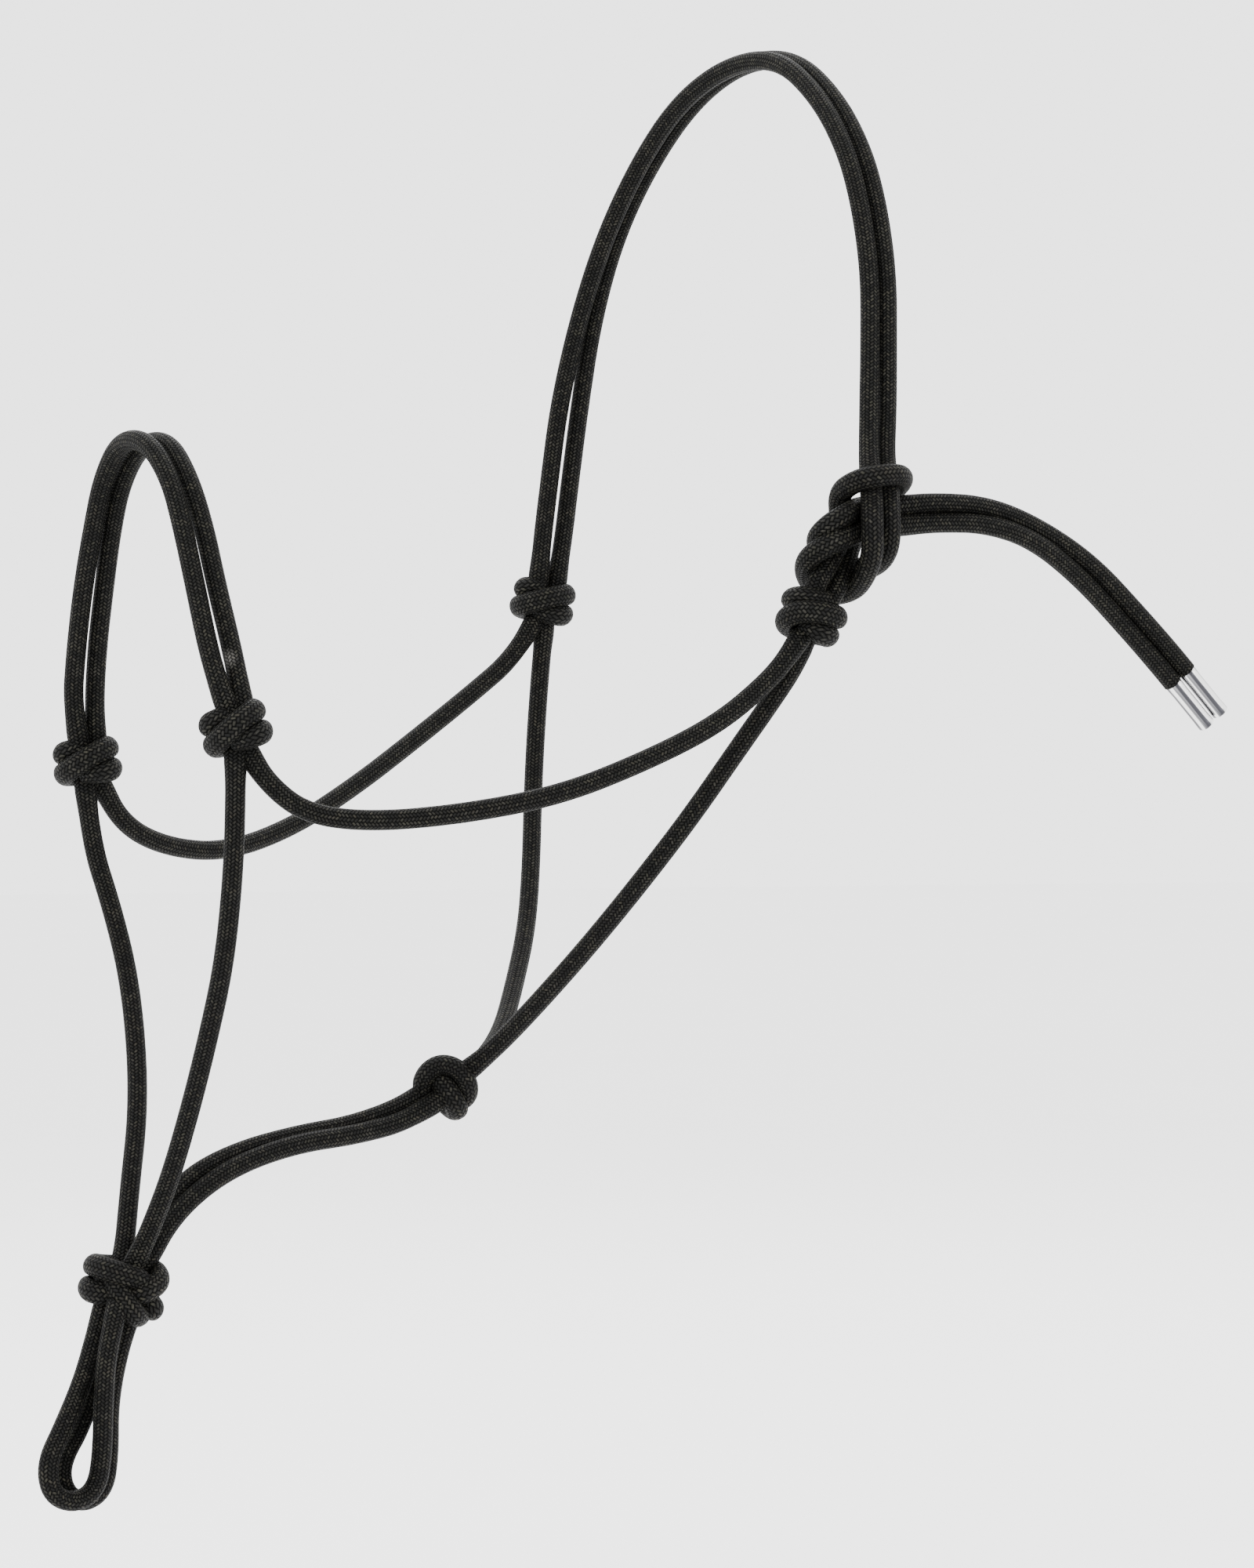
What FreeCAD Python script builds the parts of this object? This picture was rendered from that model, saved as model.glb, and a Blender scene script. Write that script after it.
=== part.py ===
import FreeCAD, Part
import math
import os

# Rope halter, as it hangs on a horse's head.
# +Z is up, the nose points to -Y, and +X is the near (left) side, where the halter is tied.
# The origin is on the poll: the underside of the crown at its highest point.
# All lengths are in millimetres.

doc = FreeCAD.newDocument("rope_halter")

DIMENSIONS = [
    ("rope_diameter", 7.8),
    ("joint_clearance", 0.3),
    ("wrap_radius", 9.0),
    ("wrap_pitch", 6.4),
    ("wrap_tilt", 13.0),
    ("side_knot_radius", 13.0),
    ("throat_knot_radius", 12.5),
    ("throat_wrap_tilt", -35.0),
    ("fiador_knot_radius", 16.0),
    ("fiador_wrap_radius", 13.5),
    ("fiador_wrap_pitch", 6.8),
    ("fiador_wrap_tilt", 12.0),
    ("tail_pivot_radius", 12.5),
    ("ferrule_diameter", 7.0),
    ("ferrule_bore", 5.4),
    ("ferrule_length", 24.0),
    ("ferrule_plug_length", 22.5),
]

sheet = doc.addObject("Spreadsheet::Sheet", "Dimensions")
for row, (name, value) in enumerate(DIMENSIONS, start=1):
    sheet.set("A%d" % row, name)
    sheet.set("B%d" % row, str(value))
    sheet.setAlias("B%d" % row, name)
doc.recompute()


def size(name):
    return float(sheet.get(name))


ROPE = size("rope_diameter")

# Knot centres.
CHEEK_KNOT_NEAR = (110, -45, -227)
CHEEK_KNOT_OFF = (-110, -42, -214)
NOSE_KNOT_NEAR = (61, -270, -270)
NOSE_KNOT_OFF = (-61, -275, -282)
THROAT_KNOT = (0, -147, -410)
FIADOR_KNOT = (0, -288, -484)

# The tail swings about this point, where it leaves the sheet bend.
TAIL_PIVOT = (114, 5, -185)

# Routes of the rope's centreline. Each starts and ends inside a knot or under another turn.
CROWN_FRONT = [
    (-110, -45, -214), (-110, -43, -193), (-108, -40, -163), (-105, -37, -131), (-97, -32, -95),
    (-84, -27, -62), (-67, -20, -32), (-43, -15, -9), (-15, -8, 4), (16, -3, 4), (43, -1, -14),
    (64, -1, -37), (77, -2, -61), (87, -4, -89), (95, -9, -117), (102, -14, -144),
    (108, -18, -161), (114, -21, -171),
]
CROWN_REAR = [
    (-110, -37, -214), (-110, -33, -193), (-108, -30, -163), (-105, -27, -131), (-99, -24, -95),
    (-88, -19, -60), (-70, -12, -30), (-45, -6, -6.5), (-15, 0, 6), (16, 5, 4), (43, 7, -14),
    (64, 7, -37), (77, 6, -61), (87, 4, -89), (95, -1, -117), (101, -5, -144), (106, -9, -161),
    (112, -12, -171),
]
BEND_FRONT = [
    (114, -21, -171), (120, -24, -181), (125, -27, -191), (124, -26, -201), (117, -25, -209),
    (107, -24, -215), (98, -29, -217), (96, -37, -213), (102, -44, -207), (111, -47, -202),
    (118, -41, -197), (116, -31, -194), (112, -19, -190), (111, -7, -189.5),
]
BEND_REAR = [
    (112, -12, -171), (118, -15, -181), (122, -17, -190), (121, -17, -199), (112, -16, -205),
    (101, -19, -207), (96, -27, -203), (99, -35, -199), (108, -42, -195), (116, -41, -190),
    (117, -34, -186), (111, -25, -183), (109, -15, -182), (110, -6, -182),
]
TIE_LOOP = [
    (110, -46, -222), (110, -44, -213), (109, -37, -205), (106.5, -30.5, -196), (103, -28, -186),
    (107, -31, -177), (117, -30, -173), (123, -24, -171), (123, -14, -170), (115, -6, -171),
    (105, -2, -174), (99, -8, -180), (99, -16, -188), (103, -24, -198), (107, -29, -208),
    (109, -35, -217), (110, -42, -225),
]
TAIL_UPPER = [
    (111, -4, -182), (113, 10, -180), (114, 34, -181), (114, 58, -189), (116, 82, -203),
    (117, 104, -223), (116, 121, -238), (116, 128, -245),
]
TAIL_LOWER = [
    (112, -4, -189.5), (113, 10, -188), (117, 31, -188), (118, 53, -194), (116, 77, -209),
    (115, 99, -228), (115, 115, -243), (115, 122, -250),
]
NOSEBAND_FRONT = [
    (-61, -277, -280), (-60, -282, -262), (-54, -283, -238), (-45, -284, -213),
    (-36, -284, -191), (-27, -284, -172), (-11, -284, -158), (11, -283, -159), (27, -281, -174),
    (36, -280, -193), (45, -279, -216), (54, -278, -240), (60, -275, -258), (61, -271, -267),
]
NOSEBAND_REAR = [
    (-61, -271, -280), (-61, -272, -262), (-54, -274, -238), (-45, -275, -213),
    (-36, -276, -191), (-27, -276, -173), (-11, -275, -159), (11, -274, -159), (27, -273, -174),
    (36, -271, -193), (45, -270, -216), (54, -268, -240), (60, -267, -258), (61, -266, -268),
]
CHEEK_NEAR = [
    (61, -266, -277), (65, -258, -291), (69, -244, -302), (77, -221, -305), (87, -187, -302),
    (96, -150, -295), (104, -117, -282), (109, -88, -268), (111, -67, -252), (112, -57, -241),
    (110, -50, -233),
]
CHEEK_OFF = [
    (-61, -270, -289), (-64, -258, -307), (-69, -236, -316), (-77, -206, -318),
    (-87, -171, -308), (-95, -138, -291), (-102, -107, -272), (-107, -78, -253),
    (-109, -56, -237), (-110, -46, -222),
]
JAW_NEAR = [
    (61, -270, -277), (61, -270, -303), (58, -270, -330), (51, -270, -359), (42, -272, -386),
    (31, -274, -413), (19, -277, -441), (9, -282, -464), (5, -286, -475),
]
JAW_OFF = [
    (-61, -276, -289), (-60, -274, -313), (-56, -267, -338), (-49, -263, -364),
    (-39, -264, -392), (-27, -269, -419), (-15, -278, -446), (-7, -284, -468), (-4, -287, -478),
]
THROAT_NEAR = [
    (108, -46, -231), (107, -50, -243), (106, -60, -257), (102, -74, -277), (92, -89, -303),
    (78, -103, -328), (60, -114, -351), (41, -124, -372), (20, -132, -391), (6, -139, -403),
]
THROAT_OFF = [
    (-110, -41, -222), (-110, -43, -240), (-107, -47, -267), (-99, -53, -295), (-86, -61, -324),
    (-70, -72, -350), (-50, -89, -373), (-28, -107, -391), (-11, -126, -402), (-5, -138, -406),
]
CURB_UPPER = [
    (-3, -148, -409), (-3, -163, -417), (-3, -187, -424.5), (-3, -211, -427.5),
    (-3, -237, -433), (-3, -258, -442), (-2, -271, -455), (-1, -280, -472),
]
CURB_LOWER = [
    (3, -152, -415), (3, -165, -423), (3, -189, -428), (3, -214, -430.5), (3, -238, -437),
    (3, -256, -446.5), (3, -270, -459), (3, -279, -474),
]
LEAD_LOOP_FRONT = [
    (-1, -292, -481), (-1, -298, -498), (-1, -304, -518), (2, -314, -536), (4, -322, -549),
    (4, -320, -561), (4, -310, -565), (4, -301, -560), (5, -299, -546), (8, -300, -526),
    (9, -299, -506), (9, -294, -488),
]
LEAD_LOOP_REAR = [
    (-7, -285, -481), (-7, -291, -498), (-7, -296, -518), (-5, -303, -536), (-3, -313, -550),
    (-2, -312, -561), (-2, -304, -566), (-2, -295, -561), (-2, -293, -547), (0, -294, -528),
    (2, -291, -508), (2, -285, -490),
]


def point(coordinates):
    return FreeCAD.Vector(*coordinates)


def rope_path(name, route):
    """One wire of straight runs joined by tangent arcs, each as large as its two runs allow."""
    corners = [point(p) for p in route]
    edges = []
    radii = []
    start = corners[0]
    for before, corner, after in zip(corners, corners[1:], corners[2:]):
        run_in = corner - before
        run_out = after - corner
        reach = 0.45 * min(run_in.Length, run_out.Length)
        run_in.normalize()
        run_out.normalize()
        turn = run_in.getAngle(run_out)
        radius = reach / math.tan(turn / 2)
        arc_start = corner - run_in * reach
        arc_end = corner + run_out * reach
        inward = run_out - run_in
        inward.normalize()
        sagitta = radius / math.cos(turn / 2) - radius
        arc_middle = corner + inward * sagitta
        edges.append(Part.LineSegment(start, arc_start).toShape())
        edges.append(Part.Arc(arc_start, arc_middle, arc_end).toShape())
        radii.append(radius)
        start = arc_end
    edges.append(Part.LineSegment(start, corners[-1]).toShape())
    path = doc.addObject("Part::Feature", name + "_path")
    path.Shape = Part.Wire(edges)
    length = path.Shape.Length
    print("%-22s length %4.0f, smallest radius %3.0f" % (name, length, min(radii)))
    return path


def rope_tube(name, route):
    """A round rope swept along its route."""
    path = rope_path(name, route)
    section = doc.addObject("Part::Circle", name + "_section")
    section.setExpression("Radius", "Dimensions.rope_diameter / 2")
    direction = point(route[1]) - point(route[0])
    turn_to_path = FreeCAD.Rotation(FreeCAD.Vector(0, 0, 1), direction)
    section.Placement = FreeCAD.Placement(point(route[0]), turn_to_path)
    tube = doc.addObject("Part::Sweep", name + "_tube")
    tube.Sections = [section]
    edge_names = ["Edge%d" % (i + 1) for i in range(len(path.Shape.Edges))]
    tube.Spine = (path, edge_names)
    tube.Solid = True
    tube.Frenet = False
    doc.recompute()
    expected = math.pi * ROPE**2 / 4 * path.Shape.Length
    print("%-22s volume is %.3f of section times length" % (name, tube.Shape.Volume / expected))
    return tube


def fused(label, parts):
    fusion = doc.addObject("Part::MultiFuse", label)
    fusion.Shapes = parts
    return fusion


def cut(label, base, tools):
    """The base with every tool taken away."""
    tool = tools[0] if len(tools) == 1 else fused(label + "_cutters", tools)
    result = doc.addObject("Part::Cut", label)
    result.Base = base
    result.Tool = tool
    return result


def knot(label, centre, ball_radius, wrap_radius, wrap_pitch, wraps, tilt):
    """A tight knot: a ball of crossing strands with stacked wraps of rope round it."""
    ball = doc.addObject("Part::Sphere", label + "_ball")
    ball.setExpression("Radius", "Dimensions." + ball_radius)
    ball.Placement = FreeCAD.Placement(point(centre), FreeCAD.Rotation())
    parts = [ball]
    facing = FreeCAD.Vector(math.sin(math.radians(60)), -math.cos(math.radians(60)), 0)
    rotation = FreeCAD.Rotation(facing, -size(tilt))
    axis = rotation.multVec(FreeCAD.Vector(0, 0, 1))
    for number in range(wraps):
        wrap = doc.addObject("Part::Torus", "%s_wrap_%d" % (label, number + 1))
        wrap.setExpression("Radius1", "Dimensions." + wrap_radius)
        wrap.setExpression("Radius2", "Dimensions.rope_diameter / 2")
        offset = (number - (wraps - 1) / 2) * size(wrap_pitch)
        wrap.Placement = FreeCAD.Placement(point(centre) + axis * offset, rotation)
        parts.append(wrap)
    return fused(label, parts)


def clearance_ball(name, centre, radius):
    """The space that a knot turns in, which the rope on the other body stays out of."""
    ball = doc.addObject("Part::Sphere", name)
    ball.Radius = radius + size("joint_clearance")
    ball.Placement = FreeCAD.Placement(point(centre), FreeCAD.Rotation())
    return ball


def knot_reach(wrap_radius, wrap_pitch):
    """How far a knot with three wraps reaches from its centre."""
    return math.hypot(size(wrap_radius), size(wrap_pitch)) + ROPE / 2


# The six knots.
side = ("side_knot_radius", "wrap_radius", "wrap_pitch", 3, "wrap_tilt")
cheek_knot_near = knot("cheek_knot_near", CHEEK_KNOT_NEAR, *side)
cheek_knot_off = knot("cheek_knot_off", CHEEK_KNOT_OFF, *side)
nose_knot_near = knot("nose_knot_near", NOSE_KNOT_NEAR, *side)
nose_knot_off = knot("nose_knot_off", NOSE_KNOT_OFF, *side)
throat_knot = knot(
    "throat_knot", THROAT_KNOT, "throat_knot_radius", "wrap_radius", "wrap_pitch", 2, "throat_wrap_tilt"
)
fiador_knot = knot(
    "fiador_knot",
    FIADOR_KNOT,
    "fiador_knot_radius",
    "fiador_wrap_radius",
    "fiador_wrap_pitch",
    3,
    "fiador_wrap_tilt",
)

side_reach = knot_reach("wrap_radius", "wrap_pitch")
fiador_reach = knot_reach("fiador_wrap_radius", "fiador_wrap_pitch")
room_cheek_near = clearance_ball("room_cheek_near", CHEEK_KNOT_NEAR, side_reach)
room_cheek_off = clearance_ball("room_cheek_off", CHEEK_KNOT_OFF, side_reach)
room_nose_near = clearance_ball("room_nose_near", NOSE_KNOT_NEAR, side_reach)
room_nose_off = clearance_ball("room_nose_off", NOSE_KNOT_OFF, side_reach)
room_fiador = clearance_ball("room_fiador", FIADOR_KNOT, fiador_reach)
room_tail = clearance_ball("room_tail", TAIL_PIVOT, size("tail_pivot_radius"))

# The crown and the sheet bend that ties it.
crown_front = cut("crown_strand_front", rope_tube("crown_front", CROWN_FRONT), [cheek_knot_off])
crown_rear = cut(
    "crown_strand_rear", rope_tube("crown_rear", CROWN_REAR), [cheek_knot_off, crown_front]
)
bend_front = cut("sheet_bend_turn_front", rope_tube("bend_front", BEND_FRONT), [room_tail])
bend_rear = cut("sheet_bend_turn_rear", rope_tube("bend_rear", BEND_REAR), [room_tail, bend_front])
tie_loop = cut(
    "tie_loop",
    rope_tube("tie", TIE_LOOP),
    [cheek_knot_near, bend_front, bend_rear, crown_front, crown_rear],
)

# The noseband swings on the two nose knots.
noseband_rooms = [room_nose_near, room_nose_off]
noseband_front = cut(
    "noseband_strand_front", rope_tube("nose_front", NOSEBAND_FRONT), noseband_rooms
)
noseband_rear = cut("noseband_strand_rear", rope_tube("nose_rear", NOSEBAND_REAR), noseband_rooms)

# The strands of the face, which swing on the two cheek knots.
cheek_near = cut(
    "cheek_strand_near", rope_tube("cheek_near", CHEEK_NEAR), [nose_knot_near, room_cheek_near]
)
cheek_off = cut(
    "cheek_strand_off", rope_tube("cheek_off", CHEEK_OFF), [nose_knot_off, room_cheek_off]
)
jaw_near = cut(
    "jaw_strand_near", rope_tube("jaw_near", JAW_NEAR), [nose_knot_near, fiador_knot, cheek_near]
)
jaw_off = cut("jaw_strand_off", rope_tube("jaw_off", JAW_OFF), [nose_knot_off, fiador_knot])
throat_near = cut(
    "throat_strand_near",
    rope_tube("throat_near", THROAT_NEAR),
    [throat_knot, room_cheek_near, cheek_near],
)
throat_off = cut(
    "throat_strand_off", rope_tube("throat_off", THROAT_OFF), [throat_knot, room_cheek_off]
)
curb_upper = cut(
    "curb_strand_upper", rope_tube("curb_upper", CURB_UPPER), [throat_knot, fiador_knot]
)
curb_lower = cut(
    "curb_strand_lower", rope_tube("curb_lower", CURB_LOWER), [throat_knot, fiador_knot, curb_upper]
)

# The lead loop swings on the fiador knot.
lead_front = cut("lead_loop_front", rope_tube("lead_front", LEAD_LOOP_FRONT), [room_fiador])
lead_rear = cut(
    "lead_loop_rear", rope_tube("lead_rear", LEAD_LOOP_REAR), [room_fiador, lead_front]
)


def ferrule_frame(route):
    """Where a ferrule sits: on the rope's end, in line with its last run."""
    end = point(route[-1])
    direction = end - point(route[-2])
    return FreeCAD.Placement(end, FreeCAD.Rotation(FreeCAD.Vector(0, 0, 1), direction))


def tail_strand(label, name, route):
    """A tail strand with the squeezed end that its ferrule grips."""
    plug = doc.addObject("Part::Cylinder", label + "_plug")
    plug.setExpression("Radius", "Dimensions.ferrule_bore / 2")
    plug.setExpression("Height", "Dimensions.ferrule_plug_length")
    plug.Placement = ferrule_frame(route)
    return fused(label, [rope_tube(name, route), plug])


def ferrule(label, route):
    """An aluminium sleeve crimped on the rope's end."""
    sleeve = doc.addObject("Part::Cylinder", label + "_sleeve")
    sleeve.setExpression("Radius", "Dimensions.ferrule_diameter / 2")
    sleeve.setExpression("Height", "Dimensions.ferrule_length")
    sleeve.Placement = ferrule_frame(route)
    bore = doc.addObject("Part::Cylinder", label + "_bore")
    bore.setExpression("Radius", "Dimensions.ferrule_bore / 2")
    bore.setExpression("Height", "Dimensions.ferrule_length")
    bore.Placement = ferrule_frame(route)
    return cut(label, sleeve, [bore])


# The tail and its ferrules. The lower strand is pressed flat where the upper one touches it.
tail_upper = tail_strand("tail_strand_upper", "tail_upper", TAIL_UPPER)
tail_lower_round = tail_strand("tail_lower_round", "tail_lower", TAIL_LOWER)
tail_lower = cut("tail_strand_lower", tail_lower_round, [tail_upper])
ferrule_upper = ferrule("ferrule_upper", TAIL_UPPER)
ferrule_lower = ferrule("ferrule_lower", TAIL_LOWER)

doc.recompute()

SUB_PARTS = [
    crown_front, crown_rear, tie_loop, bend_front, bend_rear,
    cheek_knot_near, cheek_knot_off, nose_knot_near, nose_knot_off, throat_knot, fiador_knot,
    noseband_front, noseband_rear, cheek_near, cheek_off, jaw_near, jaw_off,
    throat_near, throat_off, curb_upper, curb_lower, lead_front, lead_rear,
    tail_upper, tail_lower, ferrule_upper, ferrule_lower,
]

for item in doc.Objects:
    if "Invalid" in item.State or "Error" in item.State:
        raise RuntimeError("%s failed: %s" % (item.Label, item.State))

os.makedirs("parts", exist_ok=True)
for part in SUB_PARTS:
    if part.Shape.isNull() or not part.Shape.isValid():
        raise RuntimeError("%s has no valid shape" % part.Label)
    if len(part.Shape.Solids) != 1:
        raise RuntimeError("%s is %d solids" % (part.Label, len(part.Shape.Solids)))
    part.Shape.exportStep("parts/%s.step" % part.Label)
    print("%-24s %8.0f mm3" % (part.Label, part.Shape.Volume))
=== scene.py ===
import bpy
import math
import numpy as np
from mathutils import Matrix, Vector


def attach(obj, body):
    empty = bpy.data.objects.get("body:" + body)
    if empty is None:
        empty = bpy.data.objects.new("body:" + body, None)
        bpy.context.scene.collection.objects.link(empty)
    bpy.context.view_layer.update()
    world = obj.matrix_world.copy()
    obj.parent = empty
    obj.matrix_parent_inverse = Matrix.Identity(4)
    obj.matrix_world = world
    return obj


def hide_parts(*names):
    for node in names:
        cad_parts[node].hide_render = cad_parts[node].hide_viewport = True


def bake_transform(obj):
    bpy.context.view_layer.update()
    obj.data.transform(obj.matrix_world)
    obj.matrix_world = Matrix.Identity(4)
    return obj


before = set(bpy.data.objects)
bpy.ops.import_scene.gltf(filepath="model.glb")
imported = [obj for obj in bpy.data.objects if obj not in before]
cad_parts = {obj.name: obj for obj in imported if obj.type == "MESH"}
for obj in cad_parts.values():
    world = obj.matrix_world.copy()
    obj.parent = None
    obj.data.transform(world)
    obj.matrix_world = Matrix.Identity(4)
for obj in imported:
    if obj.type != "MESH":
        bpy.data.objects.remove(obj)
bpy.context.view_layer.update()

# Rope halter on an unseen horse's head. Metres; +Z up, nose towards -Y, tied on the +X side.

# ---------------------------------------------------------------- rope and braid

ROPE_DIAMETER = 0.0078
ROPE_RADIUS = ROPE_DIAMETER / 2
CARRIERS_EACH_WAY = 16         # thirty-two-carrier braid, over two and under two
PICK_PITCH = 0.00145           # one pick to the next along the rope
RING_GAP = 0.00085
FEWEST_RINGS = 8
POINTS_ROUND = 36
CURVE_STEPS = 16               # straight steps between two control points of a route

# Where turns press on each other the rope swells a little and fills the gaps.
SHEET_BEND = Vector((0.112, -0.026, -0.193))
SHEET_BEND_REACH = 0.042
KNOT_REACH = 0.024
SWELLING = 0.13
# A knot's wraps are pulled flat on the knot: wider than the rope, and thinner.
WRAP_WIDTH = 1.17
WRAP_THICKNESS = 0.98
OUTWARD_PULL = 0.2             # how soon a wrap's flat side turns to face out of its knot

# A small pale scuff on the noseband's rear strand, above the near nose knot.
SCUFF = (0.0570, -0.2715, -0.2435)
SCUFF_REACH = 0.0045
SCUFF_SHARE = 0.5

# Rope colours over the tone below: charcoal yarn, darkened to near black as painted shade in the
# gaps between picks and lightest on the crowns as painted light.
CHARCOAL_AND_PAINTED_SHADE = [
    (0.0, (0.0003, 0.0003, 0.0003)),
    (0.4, (0.0020, 0.0019, 0.0015)),
    (1.0, (0.030, 0.0275, 0.0215)),
]
YARN_TINTS = [
    (0.2, (1.0, 0.96, 0.9)),
    (0.5, (0.95, 1.0, 0.9)),
    (0.8, (0.95, 0.97, 1.0)),
]
SCUFF_COLOR = (0.3, 0.29, 0.27, 1.0)
# Aluminium colours: the dark stops are painted reflections, dark lengthwise bands on the bright
# metal.
METAL_AND_PAINTED_REFLECTIONS = [
    (0.42, (0.04, 0.04, 0.045)),
    (0.5, (0.22, 0.22, 0.23)),
    (0.57, (0.8, 0.8, 0.79)),
]
FILAMENT_WAVES = 19.0          # radians of filament ripple across one pick
FILAMENT_DEPTH = 0.15          # a filament's height beside a pick's
BRAID_RELIEF = 0.0005

# Knot centres, as in the CAD model.
CHEEK_KNOT_NEAR = Vector((0.110, -0.045, -0.227))
CHEEK_KNOT_OFF = Vector((-0.110, -0.042, -0.214))
NOSE_KNOT_NEAR = Vector((0.061, -0.270, -0.270))
NOSE_KNOT_OFF = Vector((-0.061, -0.275, -0.282))
THROAT_KNOT = Vector((0.0, -0.147, -0.410))
FIADOR_KNOT = Vector((0.0, -0.288, -0.484))
KNOTS = [CHEEK_KNOT_NEAR, CHEEK_KNOT_OFF, NOSE_KNOT_NEAR, NOSE_KNOT_OFF, THROAT_KNOT, FIADOR_KNOT]

# Routes of the rope's centreline, as in the CAD model.
CROWN_FRONT = [
    (-0.11, -0.045, -0.214), (-0.11, -0.043, -0.193), (-0.108, -0.04, -0.163),
    (-0.105, -0.037, -0.131), (-0.097, -0.032, -0.095), (-0.084, -0.027, -0.062),
    (-0.067, -0.02, -0.032), (-0.043, -0.015, -0.009), (-0.015, -0.008, 0.004),
    (0.016, -0.003, 0.004), (0.043, -0.001, -0.014), (0.064, -0.001, -0.037),
    (0.077, -0.002, -0.061), (0.087, -0.004, -0.089), (0.095, -0.009, -0.117),
    (0.102, -0.014, -0.144), (0.108, -0.018, -0.161), (0.114, -0.021, -0.171),
]
CROWN_REAR = [
    (-0.11, -0.037, -0.214), (-0.11, -0.033, -0.193), (-0.108, -0.03, -0.163),
    (-0.105, -0.027, -0.131), (-0.099, -0.024, -0.095), (-0.088, -0.019, -0.06),
    (-0.07, -0.012, -0.03), (-0.045, -0.006, -0.0065), (-0.015, 0, 0.006), (0.016, 0.005, 0.004),
    (0.043, 0.007, -0.014), (0.064, 0.007, -0.037), (0.077, 0.006, -0.061), (0.087, 0.004, -0.089),
    (0.095, -0.001, -0.117), (0.101, -0.005, -0.144), (0.106, -0.009, -0.161),
    (0.112, -0.012, -0.171),
]
BEND_FRONT = [
    (0.114, -0.021, -0.171), (0.12, -0.024, -0.181), (0.125, -0.027, -0.191),
    (0.124, -0.026, -0.201), (0.117, -0.025, -0.209), (0.107, -0.024, -0.215),
    (0.098, -0.029, -0.217), (0.096, -0.037, -0.213), (0.102, -0.044, -0.207),
    (0.111, -0.047, -0.202), (0.118, -0.041, -0.197), (0.116, -0.031, -0.194),
    (0.112, -0.019, -0.19), (0.111, -0.007, -0.1895),
]
BEND_REAR = [
    (0.112, -0.012, -0.171), (0.118, -0.015, -0.181), (0.122, -0.017, -0.19),
    (0.121, -0.017, -0.199), (0.112, -0.016, -0.205), (0.101, -0.019, -0.207),
    (0.096, -0.027, -0.203), (0.099, -0.035, -0.199), (0.108, -0.042, -0.195),
    (0.116, -0.041, -0.19), (0.117, -0.034, -0.186), (0.111, -0.025, -0.183),
    (0.109, -0.015, -0.182), (0.11, -0.006, -0.182),
]
TIE_LOOP = [
    (0.11, -0.046, -0.222), (0.11, -0.044, -0.213), (0.109, -0.037, -0.205),
    (0.1065, -0.0305, -0.196), (0.103, -0.028, -0.186), (0.107, -0.031, -0.177),
    (0.117, -0.03, -0.173), (0.123, -0.024, -0.171), (0.123, -0.014, -0.17),
    (0.115, -0.006, -0.171), (0.105, -0.002, -0.174), (0.099, -0.008, -0.18),
    (0.099, -0.016, -0.188), (0.103, -0.024, -0.198), (0.107, -0.029, -0.208),
    (0.109, -0.035, -0.217), (0.11, -0.042, -0.225),
]
TAIL_UPPER = [
    (0.111, -0.004, -0.182), (0.113, 0.01, -0.18), (0.114, 0.034, -0.181), (0.114, 0.058, -0.189),
    (0.116, 0.082, -0.203), (0.117, 0.104, -0.223), (0.116, 0.121, -0.238), (0.116, 0.128, -0.245),
]
TAIL_LOWER = [
    (0.112, -0.004, -0.1895), (0.113, 0.01, -0.188), (0.117, 0.031, -0.188), (0.118, 0.053, -0.194),
    (0.116, 0.077, -0.209), (0.115, 0.099, -0.228), (0.115, 0.115, -0.243), (0.115, 0.122, -0.25),
]
NOSEBAND_FRONT = [
    (-0.061, -0.277, -0.28), (-0.06, -0.282, -0.262), (-0.054, -0.283, -0.238),
    (-0.045, -0.284, -0.213), (-0.036, -0.284, -0.191), (-0.027, -0.284, -0.172),
    (-0.011, -0.284, -0.158), (0.011, -0.283, -0.159), (0.027, -0.281, -0.174),
    (0.036, -0.28, -0.193), (0.045, -0.279, -0.216), (0.054, -0.278, -0.24), (0.06, -0.275, -0.258),
    (0.061, -0.271, -0.267),
]
NOSEBAND_REAR = [
    (-0.061, -0.271, -0.28), (-0.061, -0.272, -0.262), (-0.054, -0.274, -0.238),
    (-0.045, -0.275, -0.213), (-0.036, -0.276, -0.191), (-0.027, -0.276, -0.173),
    (-0.011, -0.275, -0.159), (0.011, -0.274, -0.159), (0.027, -0.273, -0.174),
    (0.036, -0.271, -0.193), (0.045, -0.27, -0.216), (0.054, -0.268, -0.24), (0.06, -0.267, -0.258),
    (0.061, -0.266, -0.268),
]
CHEEK_NEAR = [
    (0.061, -0.266, -0.277), (0.065, -0.258, -0.291), (0.069, -0.244, -0.302),
    (0.077, -0.221, -0.305), (0.087, -0.187, -0.302), (0.096, -0.15, -0.295),
    (0.104, -0.117, -0.282), (0.109, -0.088, -0.268), (0.111, -0.067, -0.252),
    (0.112, -0.057, -0.241), (0.11, -0.05, -0.233),
]
CHEEK_OFF = [
    (-0.061, -0.27, -0.289), (-0.064, -0.258, -0.307), (-0.069, -0.236, -0.316),
    (-0.077, -0.206, -0.318), (-0.087, -0.171, -0.308), (-0.095, -0.138, -0.291),
    (-0.102, -0.107, -0.272), (-0.107, -0.078, -0.253), (-0.109, -0.056, -0.237),
    (-0.11, -0.046, -0.222),
]
JAW_NEAR = [
    (0.061, -0.27, -0.277), (0.061, -0.27, -0.303), (0.058, -0.27, -0.33), (0.051, -0.27, -0.359),
    (0.042, -0.272, -0.386), (0.031, -0.274, -0.413), (0.019, -0.277, -0.441),
    (0.009, -0.282, -0.464), (0.005, -0.286, -0.475),
]
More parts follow.
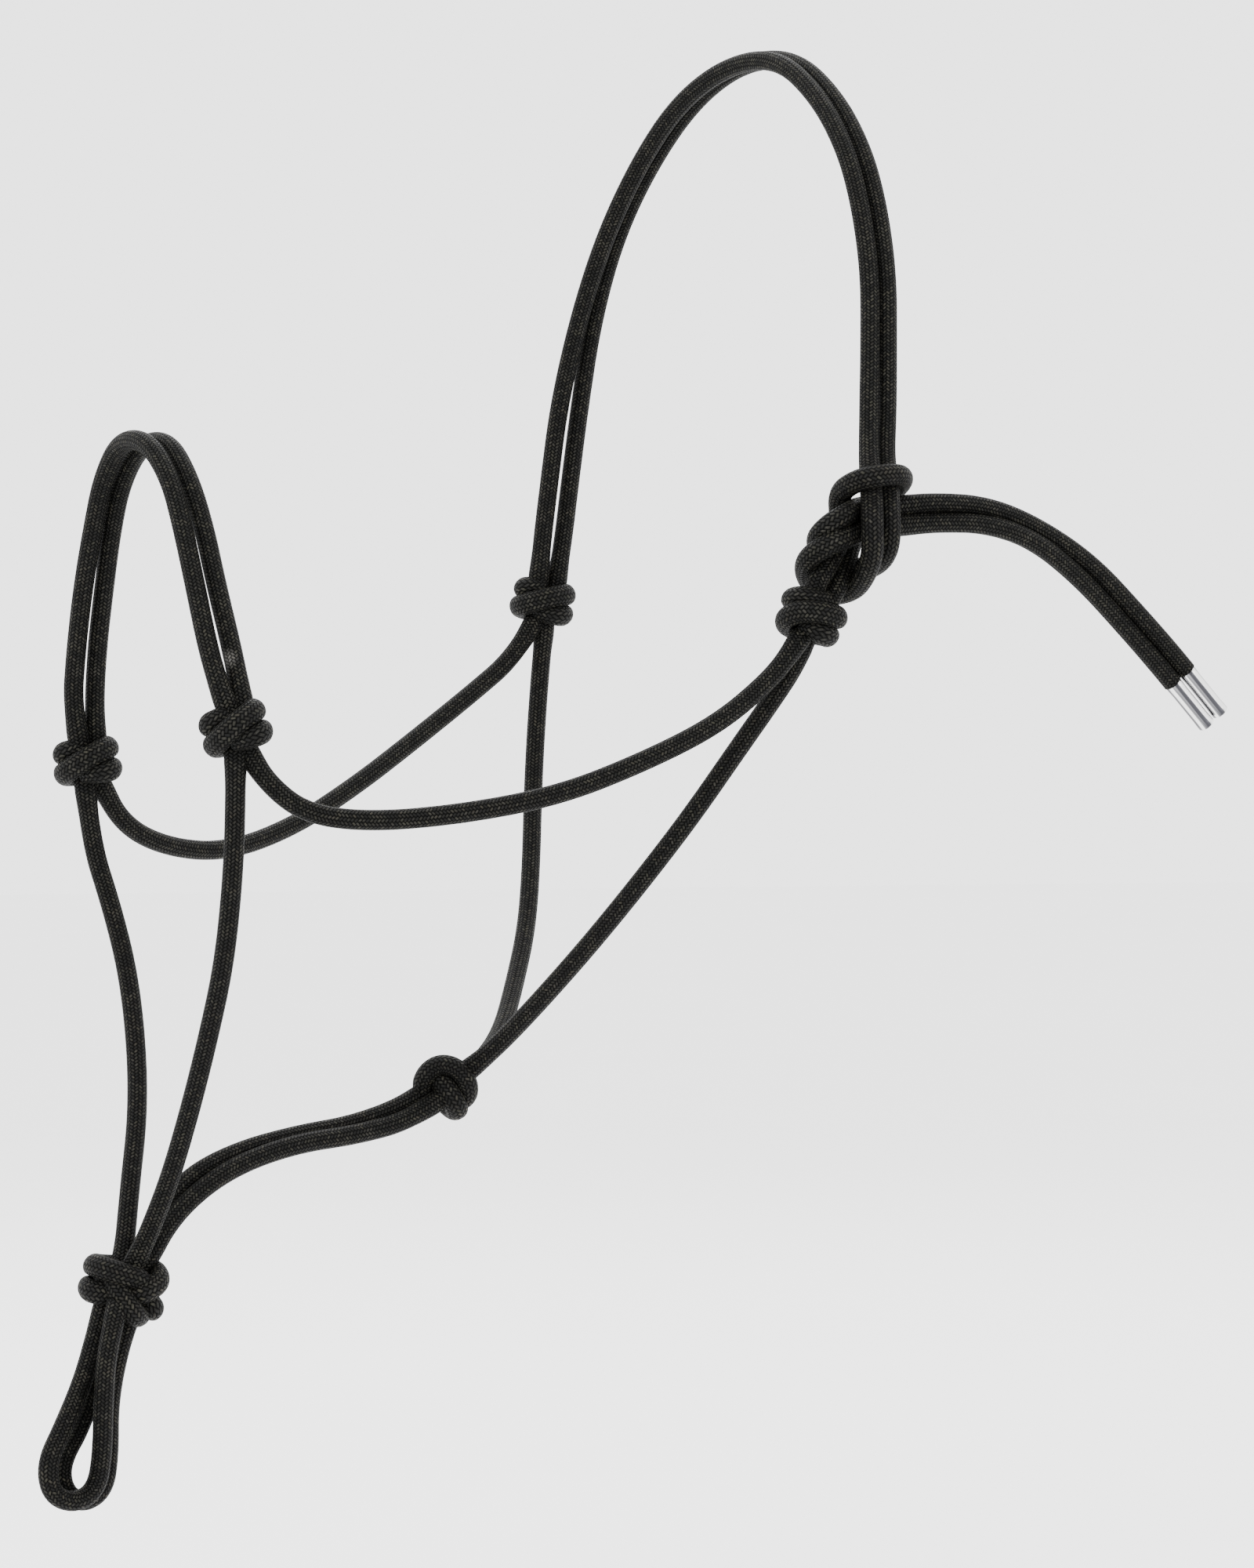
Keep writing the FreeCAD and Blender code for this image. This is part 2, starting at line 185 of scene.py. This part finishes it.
JAW_OFF = [
    (-0.061, -0.276, -0.289), (-0.06, -0.274, -0.313), (-0.056, -0.267, -0.338),
    (-0.049, -0.263, -0.364), (-0.039, -0.264, -0.392), (-0.027, -0.269, -0.419),
    (-0.015, -0.278, -0.446), (-0.007, -0.284, -0.468), (-0.004, -0.287, -0.478),
]
THROAT_NEAR = [
    (0.108, -0.046, -0.231), (0.107, -0.05, -0.243), (0.106, -0.06, -0.257),
    (0.102, -0.074, -0.277), (0.092, -0.089, -0.303), (0.078, -0.103, -0.328),
    (0.06, -0.114, -0.351), (0.041, -0.124, -0.372), (0.02, -0.132, -0.391),
    (0.006, -0.139, -0.403),
]
THROAT_OFF = [
    (-0.11, -0.041, -0.222), (-0.11, -0.043, -0.24), (-0.107, -0.047, -0.267),
    (-0.099, -0.053, -0.295), (-0.086, -0.061, -0.324), (-0.07, -0.072, -0.35),
    (-0.05, -0.089, -0.373), (-0.028, -0.107, -0.391), (-0.011, -0.126, -0.402),
    (-0.005, -0.138, -0.406),
]
CURB_UPPER = [
    (-0.003, -0.148, -0.409), (-0.003, -0.163, -0.417), (-0.003, -0.187, -0.4245),
    (-0.003, -0.211, -0.4275), (-0.003, -0.237, -0.433), (-0.003, -0.258, -0.442),
    (-0.002, -0.271, -0.455), (-0.001, -0.28, -0.472),
]
CURB_LOWER = [
    (0.003, -0.152, -0.415), (0.003, -0.165, -0.423), (0.003, -0.189, -0.428),
    (0.003, -0.214, -0.4305), (0.003, -0.238, -0.437), (0.003, -0.256, -0.4465),
    (0.003, -0.27, -0.459), (0.003, -0.279, -0.474),
]
LEAD_LOOP_FRONT = [
    (-0.001, -0.292, -0.481), (-0.001, -0.298, -0.498), (-0.001, -0.304, -0.518),
    (0.002, -0.314, -0.536), (0.004, -0.322, -0.549), (0.004, -0.32, -0.561),
    (0.004, -0.31, -0.565), (0.004, -0.301, -0.56), (0.005, -0.299, -0.546), (0.008, -0.3, -0.526),
    (0.009, -0.299, -0.506), (0.009, -0.294, -0.488),
]
LEAD_LOOP_REAR = [
    (-0.007, -0.285, -0.481), (-0.007, -0.291, -0.498), (-0.007, -0.296, -0.518),
    (-0.005, -0.303, -0.536), (-0.003, -0.313, -0.55), (-0.002, -0.312, -0.561),
    (-0.002, -0.304, -0.566), (-0.002, -0.295, -0.561), (-0.002, -0.293, -0.547),
    (0, -0.294, -0.528), (0.002, -0.291, -0.508), (0.002, -0.285, -0.49),
]


# ---------------------------------------------------------------- camera

LOOK_AT = Vector((-0.028, -0.0485, -0.2906))
CAMERA_AZIMUTH = math.radians(60)
CAMERA_DISTANCE = 2.4
CAMERA_LENS = 135
CAMERA_SENSOR = 36
RIGHT = Vector((math.cos(CAMERA_AZIMUTH), math.sin(CAMERA_AZIMUTH), 0.0))
UP = Vector((0.0, 0.0, 1.0))
TOWARD = Vector((math.sin(CAMERA_AZIMUTH), -math.cos(CAMERA_AZIMUTH), 0.0))


def add_camera():
    data = bpy.data.cameras.new("camera")
    data.lens = CAMERA_LENS
    data.sensor_width = CAMERA_SENSOR
    camera = bpy.data.objects.new("camera", data)
    camera.location = LOOK_AT + TOWARD * CAMERA_DISTANCE
    camera.rotation_mode = "QUATERNION"
    camera.rotation_quaternion = (-TOWARD).to_track_quat("-Z", "Y")
    bpy.context.scene.collection.objects.link(camera)
    bpy.context.scene.camera = camera


# ---------------------------------------------------------------- node materials

# A colour Mix node's colour sockets share their names with its number ones, so these are places.
COLOR_A = 6
COLOR_B = 7
MIXED_COLOR = 2


class Graph:
    """A material's node tree, with short calls for the nodes that the looks need."""

    def __init__(self, name):
        self.material = bpy.data.materials.new(name)
        self.material.use_nodes = True
        self.tree = self.material.node_tree
        self.surface = self.tree.nodes["Principled BSDF"]

    def add(self, kind, values=(), **settings):
        node = self.tree.nodes.new(kind)
        for key, value in settings.items():
            setattr(node, key, value)
        for key, value in dict(values).items():
            self.feed(node.inputs[key], value)
        return node

    def feed(self, socket, value):
        if isinstance(value, bpy.types.NodeSocket):
            self.tree.links.new(value, socket)
        else:
            socket.default_value = value

    def math(self, operation, *values):
        node = self.add("ShaderNodeMath", operation=operation)
        for socket, value in zip(node.inputs, values):
            self.feed(socket, value)
        return node.outputs[0]

    def mix(self, share, low, high):
        """low where share is 0 and high where it is 1."""
        return self.math("MULTIPLY_ADD", self.math("SUBTRACT", high, low), share, low)

    def noise(self, place, scale, detail=3.0):
        values = {"Vector": place, "Scale": scale, "Detail": detail}
        return self.add("ShaderNodeTexNoise", values).outputs["Fac"]

    def ramp(self, value, *stops):
        node = self.add("ShaderNodeValToRGB", {"Fac": value})
        first, last = node.color_ramp.elements
        first.position, first.color = stops[0][0], (*stops[0][1], 1)
        last.position, last.color = stops[-1][0], (*stops[-1][1], 1)
        for position, color in stops[1:-1]:
            node.color_ramp.elements.new(position).color = (*color, 1)
        return node.outputs["Color"]

    def mix_colors(self, share, low, high, **settings):
        node = self.add("ShaderNodeMix", data_type="RGBA", **settings)
        self.feed(node.inputs["Factor"], share)
        self.feed(node.inputs[COLOR_A], low)
        self.feed(node.inputs[COLOR_B], high)
        return node.outputs[MIXED_COLOR]

    def surface_values(self, **values):
        for key, value in values.items():
            self.feed(self.surface.inputs[key.replace("_", " ")], value)

    def bump(self, height, distance, strength=1.0):
        values = {"Height": height, "Distance": distance, "Strength": strength}
        self.feed(self.surface.inputs["Normal"], self.add("ShaderNodeBump", values).outputs[0])


def rope_material():
    """Charcoal braid: slanting picks in columns, each a bundle of fine filaments, with painted
    shade where the yarn dives between picks and in the grooves between filaments, and painted light
    on the pick crowns.
    """
    g = Graph("braided_rope")
    coordinates = g.add("ShaderNodeTexCoord")
    uv = g.add("ShaderNodeSeparateXYZ", {"Vector": coordinates.outputs["UV"]})
    around = g.math("MULTIPLY", uv.outputs["X"], float(CARRIERS_EACH_WAY))
    along = uv.outputs["Y"]
    right_yarn = g.math("SUBTRACT", around, along)
    left_yarn = g.math("ADD", around, along)
    right_number = g.math("FLOOR", right_yarn)
    left_number = g.math("FLOOR", left_yarn)
    right_part = g.math("SUBTRACT", right_yarn, right_number)
    left_part = g.math("SUBTRACT", left_yarn, left_number)
    crossing = g.math("FLOORED_MODULO", g.math("ADD", right_number, left_number), 4.0)
    right_on_top = g.math("LESS_THAN", crossing, 1.5)
    half = g.math("FLOORED_MODULO", crossing, 2.0)
    across = g.mix(right_on_top, left_part, right_part)
    step = g.mix(right_on_top, right_part, left_part)
    lengthwise = g.math("MULTIPLY", g.math("ADD", step, half), 0.5)

    from_middle = g.math("MULTIPLY_ADD", across, 2.0, -1.0)
    rounding = g.math("SUBTRACT", 1.0, g.math("MULTIPLY", from_middle, from_middle))
    from_centre = g.math("MULTIPLY_ADD", lengthwise, 2.0, -1.0)
    dive = g.math("SUBTRACT", 1.0, g.math("POWER", g.math("ABSOLUTE", from_centre), 3.0))
    pick = g.math("MULTIPLY", g.math("SQRT", rounding), dive)

    number = g.mix(right_on_top, left_number, right_number)
    group = g.math("FLOOR", g.math("MULTIPLY", g.math("ADD", right_number, left_number), 0.25))
    label = g.add("ShaderNodeCombineXYZ", {"X": number, "Y": group, "Z": right_on_top})
    shade = g.add("ShaderNodeTexWhiteNoise", {"Vector": label.outputs[0]}, noise_dimensions="3D")
    # Fine noise for fibre fuzz; in the tone it also makes painted glints of single fibres.
    fuzz_and_glints = g.noise(coordinates.outputs["Object"], 1800.0, 2.0)
    ripple = g.math("MULTIPLY", across, FILAMENT_WAVES)
    ripple = g.math("ADD", ripple, g.math("MULTIPLY", fuzz_and_glints, 7.0))
    filament = g.math("MULTIPLY_ADD", g.math("SINE", ripple), 0.5, 0.5)
    wear = g.noise(coordinates.outputs["Object"], 35.0, 4.0)

    height = g.math("ADD", pick, g.math("MULTIPLY", filament, FILAMENT_DEPTH))
    # The tone is partly painted light: darker where a pick dives under its neighbours and in the
    # grooves between filaments (painted shade), lighter on the crowns; the rest is tone that
    # differs at random per pick, and wear.
    tone_and_painted_shade = g.math("MULTIPLY", pick, g.mix(shade.outputs["Value"], 0.3, 1.0))
    tone_and_painted_shade = g.math("MULTIPLY", tone_and_painted_shade, g.mix(filament, 0.55, 1.0))
    tone_and_painted_shade = g.math("MULTIPLY", tone_and_painted_shade, g.mix(fuzz_and_glints, 0.6, 1.4))
    tone_and_painted_shade = g.math("MULTIPLY", tone_and_painted_shade, g.mix(wear, 0.75, 1.25))
    charcoal_and_painted_shade = g.ramp(tone_and_painted_shade, *CHARCOAL_AND_PAINTED_SHADE)
    from_scuff = g.add(
        "ShaderNodeVectorMath", {0: coordinates.outputs["Object"], 1: SCUFF}, operation="DISTANCE"
    )
    share_of_reach = g.math("DIVIDE", from_scuff.outputs["Value"], SCUFF_REACH)
    closeness = g.math("SUBTRACT", 1.0, share_of_reach)
    ragged = g.math("MULTIPLY", pick, fuzz_and_glints)
    scuffed = g.math("MULTIPLY", g.math("MAXIMUM", closeness, 0.0), ragged)
    tinted = g.ramp(shade.outputs["Color"], *YARN_TINTS)
    color = g.mix_colors(1.0, charcoal_and_painted_shade, tinted, blend_type="MULTIPLY")
    worn = g.mix_colors(g.math("MULTIPLY", scuffed, SCUFF_SHARE), color, SCUFF_COLOR)
    g.surface_values(
        Base_Color=worn,
        Roughness=g.mix(filament, 0.65, 0.5),
        Specular_IOR_Level=g.mix(pick, 0.01, 0.11),
    )
    g.bump(height, BRAID_RELIEF)
    return g.material


def ferrule_material():
    """Bright aluminium whose colour carries painted reflections as dark and bright lengthwise
    bands, with fine lengthwise bumps from the same pattern.
    """
    g = Graph("crimped_aluminium")
    coordinates = g.add("ShaderNodeTexCoord")
    stretch = g.add(
        "ShaderNodeMapping", {"Vector": coordinates.outputs["UV"], "Scale": (1.0, 0.04, 1.0)}
    )
    # Stretched noise makes lengthwise bands: painted reflections in the colour, and fine bumps.
    streaks_and_painted_reflections = g.noise(stretch.outputs[0], 9.0, 4.0)
    haze = g.noise(coordinates.outputs["Object"], 250.0, 3.0)
    color = g.ramp(streaks_and_painted_reflections, *METAL_AND_PAINTED_REFLECTIONS)
    g.surface_values(Base_Color=color, Metallic=1.0, Roughness=g.mix(haze, 0.14, 0.3))
    g.bump(streaks_and_painted_reflections, 0.00008, 0.6)
    return g.material


def floor_material():
    """Plain pale studio floor with a very faint mottle."""
    g = Graph("studio_floor")
    coordinates = g.add("ShaderNodeTexCoord")
    mottle = g.noise(coordinates.outputs["Object"], 2.0, 3.0)
    color = g.ramp(mottle, (0.0, (0.95, 0.95, 0.95)), (1.0, (0.98, 0.98, 0.98)))
    g.surface_values(Base_Color=color, Roughness=0.9, Specular_IOR_Level=0.1)
    return g.material


ROPE_LOOK = rope_material()
FERRULE_LOOK = ferrule_material()
FLOOR_LOOK = floor_material()

# ---------------------------------------------------------------- rope geometry


def smooth_line(points):
    """Points along the NURBS curve that has the given control points."""
    data = bpy.data.curves.new("route", "CURVE")
    data.dimensions = "3D"
    data.resolution_u = CURVE_STEPS
    spline = data.splines.new("NURBS")
    spline.points.add(len(points) - 1)
    for target, point in zip(spline.points, points):
        target.co = (*point, 1.0)
    spline.order_u = 3
    spline.use_endpoint_u = True
    curve = bpy.data.objects.new("route", data)
    line = bpy.data.meshes.new_from_object(curve)
    found = np.array([v.co for v in line.vertices])
    bpy.data.objects.remove(curve)
    bpy.data.curves.remove(data)
    bpy.data.meshes.remove(line)
    return found


def evenly_spaced(line, gap):
    """The same line with a point every gap."""
    steps = np.linalg.norm(np.diff(line, axis=0), axis=1)
    travelled = np.concatenate([[0.0], np.cumsum(steps)])
    count = max(FEWEST_RINGS, round(travelled[-1] / gap))
    wanted = np.linspace(0.0, travelled[-1], count + 1)
    return np.stack([np.interp(wanted, travelled, line[:, axis]) for axis in range(3)], axis=1)


def directions(line):
    """The line's direction at each of its points."""
    tangents = np.gradient(line, axis=0)
    return tangents / np.linalg.norm(tangents, axis=1)[:, None]


def carried_frames(line):
    """Two directions across the line at each point, turned as little as possible on the way."""
    tangents = directions(line)
    side = np.cross(tangents[0], (0.3, 0.2, 0.93))
    side /= np.linalg.norm(side)
    sides = []
    for tangent in tangents:
        side = side - tangent * side.dot(tangent)
        side /= np.linalg.norm(side)
        sides.append(side)
    sides = np.array(sides)
    return sides, np.cross(tangents, sides)


def pressed_frames(line, centre):
    """The same, turned so that the second direction faces away from a knot's centre."""
    tangents = directions(line)
    outward = line - np.array(centre)
    outward /= np.maximum(np.linalg.norm(outward, axis=1), 1e-6)[:, None]
    up = outward[0]
    ups = []
    for tangent, away in zip(tangents, outward):
        up = up + OUTWARD_PULL * away
        up = up - tangent * up.dot(tangent)
        up /= np.linalg.norm(up)
        ups.append(up)
    ups = np.array(ups)
    return np.cross(ups, tangents), ups


def swelling(line):
    """How much wider the rope is at each point, where its turns press on each other."""
    most = np.zeros(len(line))
    zones = [(SHEET_BEND, SHEET_BEND_REACH)] + [(centre, KNOT_REACH) for centre in KNOTS]
    for centre, reach in zones:
        near = np.clip(1 - np.linalg.norm(line - np.array(centre), axis=1) / reach, 0, 1)
        most = np.maximum(most, near * near * (3 - 2 * near))
    return 1 + SWELLING * np.clip(most * 2, 0, 1)


def mesh_object(name, vertices, faces, coordinates, material):
    """A smooth mesh with one UV place for each corner of each face."""
    mesh = bpy.data.meshes.new(name)
    mesh.from_pydata(vertices.tolist(), [], faces)
    mesh.update()
    layer = mesh.uv_layers.new(name="UVMap")
    layer.data.foreach_set("uv", np.asarray(coordinates, np.float32).ravel())
    mesh.polygons.foreach_set("use_smooth", [True] * len(mesh.polygons))
    mesh.materials.append(material)
    piece = bpy.data.objects.new(name, mesh)
    bpy.context.scene.collection.objects.link(piece)
    return piece


def rope(name, points, knot_centre=None):
    """A braided rope along the NURBS curve of the given control points. Returns it and its line."""
    line = evenly_spaced(smooth_line(points), RING_GAP)
    if knot_centre is None:
        sides, ups = carried_frames(line)
        width = thickness = ROPE_RADIUS * swelling(line)
    else:
        sides, ups = pressed_frames(line, knot_centre)
        width = np.full(len(line), ROPE_RADIUS * WRAP_WIDTH)
        thickness = np.full(len(line), ROPE_RADIUS * WRAP_THICKNESS)
    rings = len(line)
    gap = np.linalg.norm(line[1] - line[0])
    turn = 2 * math.pi * np.arange(POINTS_ROUND) / POINTS_ROUND
    across = (sides * width[:, None])[:, None, :] * np.cos(turn)[None, :, None]
    above = (ups * thickness[:, None])[:, None, :] * np.sin(turn)[None, :, None]
    wall = (line[:, None, :] + across + above).reshape(-1, 3)
    vertices = np.concatenate([wall, line[:1], line[-1:]])
    first_tip = len(wall)
    last_tip = first_tip + 1
    faces = []
    places = []
    for ring in range(rings - 1):
        low = ring * POINTS_ROUND
        high = low + POINTS_ROUND
        v, v_after = ring * gap / PICK_PITCH, (ring + 1) * gap / PICK_PITCH
        for k in range(POINTS_ROUND):
            after = (k + 1) % POINTS_ROUND
            u, u_after = k / POINTS_ROUND, (k + 1) / POINTS_ROUND
            faces.append((low + k, low + after, high + after, high + k))
            places += [(u, v), (u_after, v), (u_after, v_after), (u, v_after)]
    end = (rings - 1) * POINTS_ROUND
    for k in range(POINTS_ROUND):
        after = (k + 1) % POINTS_ROUND
        faces.append((after, k, first_tip))
        faces.append((end + k, end + after, last_tip))
        places += [(k / POINTS_ROUND, 0.0)] * 6
    return mesh_object(name, vertices, faces, places, ROPE_LOOK), line


def strand(name, points):
    """A length of rope along the given route."""
    piece, line = rope(name, points)
    return piece


def rides_alone(piece, body, replaced):
    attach(piece, body)
    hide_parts(*replaced)


# ---------------------------------------------------------------- knots

# Each knot's wraps are drawn as one rope, in millimetres to the right of the knot's centre,
# above it and towards the camera.
MILLIMETRE = 0.001

SIDE_WRAPS = [
    (-2, -4, 4), (4, -5.8, 8), (9.2, -6.2, 3), (8, -4.8, -6), (-3, -4, -9.5), (-11.2, -2, -3),
    (-9, -1.5, 5), (-3, 0, 9), (4, 1.6, 9), (10.6, 3, 3), (9, 3.6, -6), (-2, 5.4, -9),
    (-9.4, 6.2, -2), (-6, 6.6, 4), (0, 6, 2),
]
TIED_CHEEK_WRAPS = [
    (-3, -3, 3), (1.5, -4.2, 8), (6.4, -6.8, 4), (6, -6, -5), (-4, -4, -9), (-11.4, -1.5, -3),
    (-10, 1.5, 5), (-4, 3.4, 9), (4, 2.6, 9.5), (10.4, 0.6, 4), (9, 2, -6), (-2, 6, -9),
    (-9, 8.6, -3), (-6, 9.2, 4), (0, 8.6, 5), (5, 7.5, 1),
]
FIADOR_WRAPS = [
    (-5, 5, 4), (-2, 1, 10), (3, -6, 12), (6, -10.6, 8), (6.5, -11, -3), (0, -7, -11),
    (-9, -2, -10), (-14.4, 0.6, -3), (-12.5, -0.8, 5), (-7, -1.5, 8), (2, -2, 6), (9, -1, 9),
    (15, 2.8, 3), (12.5, 7, -5), (1, 7.5, -12), (-10, 8.2, -7), (-12, 9.4, 2), (-7, 8.6, 9),
    (1, 6, 11), (8, 4, 8), (9, -3, 2), (12, -7.4, 2), (11.5, -9, -5), (5, -6, -8),
]
THROAT_WRAPS = [
    (-7, -8, 0), (-10.4, -1, 4), (-8, 5.5, 6), (-2.5, 9, 6), (4, 7.5, 6), (8.8, 1.5, 5),
    (8.4, -5, 1), (2, -7, -5), (-5, -2, -7), (-6, 4, -3), (-4, 4, 4), (0, -1, 7),
    (3.6, -6.5, 6.5), (4.4, -10.6, 1), (0, -8, -5), (-4, -3, -4),
]
NEAR_NOSE_TURN = math.radians(28)
OFF_NOSE_TURN = math.radians(18)


def knot(name, centre, wraps, body, turn=0.0):
    """The wraps of one knot, turned as the camera sees them, at its centre."""
    points = []
    for right, above, toward in wraps:
        turned_right = right * math.cos(turn) - above * math.sin(turn)
        turned_above = right * math.sin(turn) + above * math.cos(turn)
        offset = RIGHT * turned_right + UP * turned_above + TOWARD * toward
        points.append(centre + offset * MILLIMETRE)
    piece, _ = rope(name, points, centre)
    rides_alone(piece, body, [name.replace("_wraps", "")])


def add_knots():
    knot("cheek_knot_near_wraps", CHEEK_KNOT_NEAR, TIED_CHEEK_WRAPS, "crown")
    knot("cheek_knot_off_wraps", CHEEK_KNOT_OFF, SIDE_WRAPS, "crown")
    knot("nose_knot_near_wraps", NOSE_KNOT_NEAR, SIDE_WRAPS, "face", NEAR_NOSE_TURN)
    knot("nose_knot_off_wraps", NOSE_KNOT_OFF, SIDE_WRAPS, "face", OFF_NOSE_TURN)
    knot("throat_knot_wraps", THROAT_KNOT, THROAT_WRAPS, "face")
    knot("fiador_knot_wraps", FIADOR_KNOT, FIADOR_WRAPS, "face")


# ---------------------------------------------------------------- ferrules

FERRULE_RADIUS = 0.0035
FERRULE_BORE = 0.0027
FERRULE_LENGTH = 0.024
FERRULE_FLUTES = 10
FLUTE_DEPTH = 0.00006
FERRULE_POINTS_ROUND = 80


def ferrule(name, route, replaced):
    """A crimped sleeve on the end of a rope: a turned outline with shallow crimp flutes."""
    end = Vector(route[-1])
    axis = (end - Vector(route[-2])).normalized()
    side = axis.cross(UP).normalized()
    other = axis.cross(side)
    # Distance along the sleeve, radius, and how deep the crimp flutes are there.
    outline = [
        (0.0, FERRULE_BORE, 0.0),
        (0.0, FERRULE_RADIUS - 0.0004, 0.0),
        (0.0004, FERRULE_RADIUS, 0.0),
        (0.0025, FERRULE_RADIUS, 0.2),
        (0.005, FERRULE_RADIUS - 0.0001, 1.0),
        (0.012, FERRULE_RADIUS - 0.0001, 1.0),
        (0.019, FERRULE_RADIUS - 0.0001, 1.0),
        (0.0215, FERRULE_RADIUS, 0.2),
        (FERRULE_LENGTH - 0.0006, FERRULE_RADIUS, 0.0),
        (FERRULE_LENGTH, FERRULE_RADIUS - 0.0006, 0.0),
        (FERRULE_LENGTH, FERRULE_BORE, 0.0),
        (FERRULE_LENGTH - 0.0012, FERRULE_BORE, 0.0),
        (FERRULE_LENGTH - 0.0014, 0.0001, 0.0),
    ]
    vertices = []
    for distance, radius, depth in outline:
        for k in range(FERRULE_POINTS_ROUND):
            angle = 2 * math.pi * k / FERRULE_POINTS_ROUND
            flute = FLUTE_DEPTH * depth * (1 - math.cos(FERRULE_FLUTES * angle)) / 2
            around = side * math.cos(angle) + other * math.sin(angle)
            vertices.append(end + axis * distance + around * (radius - flute))
    faces = []
    places = []
    for ring in range(len(outline) - 1):
        for k in range(FERRULE_POINTS_ROUND):
            after = (k + 1) % FERRULE_POINTS_ROUND
            low, high = ring * FERRULE_POINTS_ROUND, (ring + 1) * FERRULE_POINTS_ROUND
            faces.append((low + after, low + k, high + k, high + after))
            u, u_after = k / FERRULE_POINTS_ROUND, (k + 1) / FERRULE_POINTS_ROUND
            v, v_after = ring / len(outline), (ring + 1) / len(outline)
            places += [(u_after, v), (u, v), (u, v_after), (u_after, v_after)]
    piece = mesh_object(name, np.array(vertices), faces, places, FERRULE_LOOK)
    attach(piece, "tail")
    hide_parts(replaced)
    return piece


# ---------------------------------------------------------------- the halter's strands

# Each strand's length, in metres, along its drawn line.
# Where a knot's wraps would leave a strand's end bare, the strand runs on into the knot's heart.
SPANS = [
    ("noseband_strand_front", NOSEBAND_FRONT, 0.278, "noseband"),
    ("noseband_strand_rear", NOSEBAND_REAR, 0.277, "noseband"),
    ("cheek_strand_near", [NOSE_KNOT_NEAR] + CHEEK_NEAR, 0.262, "face"),
    ("cheek_strand_off", [NOSE_KNOT_OFF] + CHEEK_OFF, 0.277, "face"),
    ("jaw_strand_near", JAW_NEAR + [FIADOR_KNOT], 0.220, "face"),
    ("jaw_strand_off", JAW_OFF + [FIADOR_KNOT], 0.210, "face"),
    ("throat_strand_near", THROAT_NEAR + [THROAT_KNOT], 0.240, "face"),
    ("throat_strand_off", [CHEEK_KNOT_OFF] + THROAT_OFF + [THROAT_KNOT], 0.269, "face"),
    ("curb_strand_upper", CURB_UPPER + [FIADOR_KNOT], 0.167, "face"),
    ("curb_strand_lower", CURB_LOWER + [FIADOR_KNOT], 0.160, "face"),
    ("lead_loop_front", LEAD_LOOP_FRONT, 0.178, "lead_loop"),
    ("lead_loop_rear", LEAD_LOOP_REAR, 0.175, "lead_loop"),
]


def add_crown():
    front_ferrule = ferrule("ferrule_lower_sleeve", TAIL_LOWER, "ferrule_lower")
    rear_ferrule = ferrule("ferrule_upper_sleeve", TAIL_UPPER, "ferrule_upper")
    front = strand(
        "crown_rope_front",
        CROWN_FRONT + BEND_FRONT[1:] + TAIL_LOWER[1:],
    )
    rear = strand(
        "crown_rope_rear",
        CROWN_REAR + BEND_REAR[1:] + TAIL_UPPER[1:],
    )
    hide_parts("crown_strand_front", "sheet_bend_turn_front", "tail_strand_lower")
    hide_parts("crown_strand_rear", "sheet_bend_turn_rear", "tail_strand_upper")
    for piece in (front, rear):
        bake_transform(piece)
    loop = strand("tie_loop_rope", TIE_LOOP)
    rides_alone(loop, "crown", ["tie_loop"])


def add_spans():
    """The strands of the face, noseband and lead loop."""
    for name, route, length, body in SPANS:
        piece = strand(name + "_rope", route)
        rides_alone(piece, body, [name])


# ---------------------------------------------------------------- studio

FLOOR_HEIGHT = -0.64
FLOOR_SIZE = 30.0
WORLD_STRENGTH = 3.0
# Each light's name, its offset from the halter, its size and its power in watts.
LIGHTS = [
    ("key", RIGHT * -1.2 + UP * 1.5 + TOWARD * 1.6, 1.2, 60),
    ("fill", RIGHT * 1.8 + UP * 0.4 + TOWARD * 1.2, 1.5, 22),
    ("back", UP * 1.6 - TOWARD * 1.6, 1.5, 25),
]


def add_floor():
    half = FLOOR_SIZE / 2
    corners = [(-half, -half), (half, -half), (half, half), (-half, half)]
    vertices = np.array([(x, y, FLOOR_HEIGHT) for x, y in corners])
    places = [(0, 0), (1, 0), (1, 1), (0, 1)]
    floor = mesh_object("studio_floor", vertices, [(0, 1, 2, 3)], places, FLOOR_LOOK)


def add_light(name, offset, size, power):
    """A square soft light at an offset from the halter, facing it."""
    data = bpy.data.lights.new(name, "AREA")
    data.size = size
    data.energy = power
    light = bpy.data.objects.new(name, data)
    light.location = LOOK_AT + offset
    light.rotation_mode = "QUATERNION"
    light.rotation_quaternion = (-offset).to_track_quat("-Z", "Y")
    bpy.context.scene.collection.objects.link(light)


def add_studio():
    world = bpy.data.worlds.new("studio")
    world.use_nodes = True
    background = world.node_tree.nodes["Background"]
    background.inputs["Color"].default_value = (1.0, 1.0, 1.0, 1.0)
    background.inputs["Strength"].default_value = WORLD_STRENGTH
    bpy.context.scene.world = world
    for name, offset, size, power in LIGHTS:
        add_light(name, offset, size, power)


# ---------------------------------------------------------------- build

add_camera()
add_crown()
add_spans()
add_knots()
add_floor()
add_studio()
